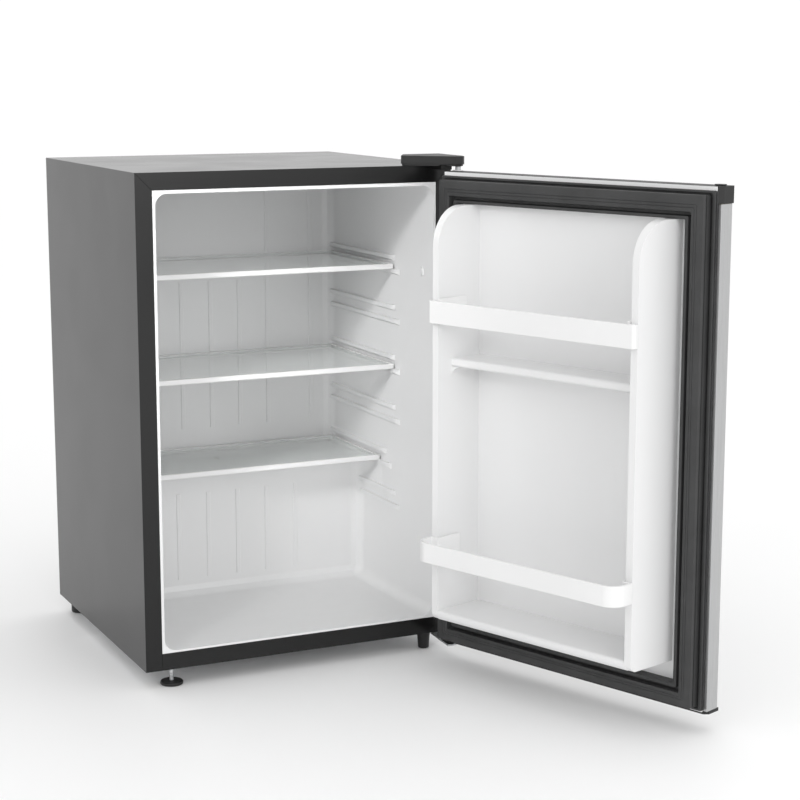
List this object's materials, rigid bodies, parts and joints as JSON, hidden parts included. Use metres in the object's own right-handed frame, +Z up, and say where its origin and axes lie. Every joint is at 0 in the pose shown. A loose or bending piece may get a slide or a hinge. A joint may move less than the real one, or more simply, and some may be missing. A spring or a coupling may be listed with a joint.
{
  "type": "mini fridge",
  "caption": "Compact refrigerator with an open swinging door, sliding glass shelves, door bottle bars, levelling foot and a compressor room behind.",
  "frame": {"origin": "centre of the whole object's box at floor level, with the door open as at rest", "axes": "+Z up, -Y out of the cabinet's front, +X to the right seen from the front, towards the hinge side"},
  "size_m": [0.5926, 0.8788, 0.6911],
  "materials": {
    "cabinet_paint": "semi-gloss black baked paint on folded steel",
    "compressor_paint": "gloss black enamel on a pressed steel can",
    "black_plastic": "moulded black plastic, fine spark texture",
    "gasket_vinyl": "soft dark grey extruded vinyl with a magnetic core",
    "grommet_rubber": "black rubber",
    "liner_plastic": "vacuum-formed white sheet, satin",
    "trim_plastic": "moulded bright white plastic, satin",
    "door_steel": "stainless sheet, fine brushing",
    "zinc_steel": "bright zinc-plated steel, satin",
    "shelf_glass": "clear tempered glass, greenish edges",
    "copper": "drawn copper tube, slightly dulled",
    "evaporator_aluminium": "roll-bonded aluminium plate",
    "insulation_foam": "rigid polyurethane foam, hidden inside the walls"
  },
  "bodies": {
    "cabinet": {"cabinet_shell": "cabinet_paint", "front_bottom_rail": "cabinet_paint", "base_pan": "zinc_steel", "back_panel": "cabinet_paint", "cabinet_foam": "insulation_foam", "inner_liner": "liner_plastic", "liner_plug": "liner_plastic", "evaporator_plate": "evaporator_aluminium", "compressor_rail": "zinc_steel", "compressor": "compressor_paint", "compressor_grommet_1": "grommet_rubber", "compressor_grommet_2": "grommet_rubber", "compressor_grommet_3": "grommet_rubber", "compressor_grommet_4": "grommet_rubber", "starter_relay_cover": "black_plastic", "condenser_coil": "cabinet_paint", "condenser_bracket_left": "cabinet_paint", "condenser_bracket_right": "cabinet_paint", "filter_drier": "copper", "suction_tube": "copper", "capillary_tube": "copper", "discharge_tube": "copper", "drain_tube": "liner_plastic", "drip_tray": "black_plastic", "machine_room_cover": "cabinet_paint", "cord_gland": "black_plastic", "thermostat_housing": "liner_plastic", "rear_foot_left": "black_plastic", "rear_foot_right": "black_plastic", "front_right_leg": "black_plastic", "levelling_nut": "zinc_steel", "lower_hinge_plate": "zinc_steel", "lower_hinge_pin": "zinc_steel", "lower_hinge_screw_1": "zinc_steel", "lower_hinge_screw_2": "zinc_steel", "upper_hinge_bracket": "cabinet_paint", "upper_hinge_pin": "zinc_steel", "upper_hinge_screw_1": "zinc_steel", "upper_hinge_screw_2": "zinc_steel", "upper_hinge_cover": "black_plastic"},
    "door": {"door_skin": "door_steel", "door_top_cap": "black_plastic", "door_bottom_cap": "black_plastic", "door_cap_plug": "black_plastic", "door_foam": "insulation_foam", "door_liner": "liner_plastic", "door_gasket": "gasket_vinyl", "upper_hinge_bush": "trim_plastic", "lower_hinge_bush": "trim_plastic", "upper_door_bar": "trim_plastic", "lower_door_bar": "trim_plastic"},
    "top_shelf": {"top_shelf_frame": "trim_plastic", "top_shelf_glass": "shelf_glass"},
    "middle_shelf": {"middle_shelf_frame": "trim_plastic", "middle_shelf_glass": "shelf_glass"},
    "bottom_shelf": {"bottom_shelf_frame": "trim_plastic", "bottom_shelf_glass": "shelf_glass"},
    "thermostat_dial": {"thermostat_knob": "trim_plastic"},
    "levelling_foot": {"levelling_stud": "zinc_steel", "levelling_pad": "black_plastic"}
  },
  "joints": [
    {"name": "door_hinge", "type": "hinge", "parent": "cabinet", "child": "door", "pos_m": [0.13908, -0.02456, 0.3475], "axis": [0, 0, 1], "range_deg": [-110.4, 24.6]},
    {"name": "top_shelf_slide", "type": "slide", "parent": "cabinet", "child": "top_shelf", "axis": [0, -1, 0], "range_m": [0, 0.14]},
    {"name": "middle_shelf_slide", "type": "slide", "parent": "cabinet", "child": "middle_shelf", "axis": [0, -1, 0], "range_m": [0, 0.138]},
    {"name": "bottom_shelf_slide", "type": "slide", "parent": "cabinet", "child": "bottom_shelf", "axis": [0, -1, 0], "range_m": [0, 0.185]},
    {"name": "thermostat_turn", "type": "hinge", "parent": "cabinet", "child": "thermostat_dial", "pos_m": [-0.25232, 0.20124, 0.6005], "axis": [1, 0, 0], "range_deg": [-135, 135]},
    {"name": "levelling_travel", "type": "slide", "parent": "cabinet", "child": "levelling_foot", "axis": [0, 0, 1], "range_m": [-0.004, 0.006]}
  ]
}
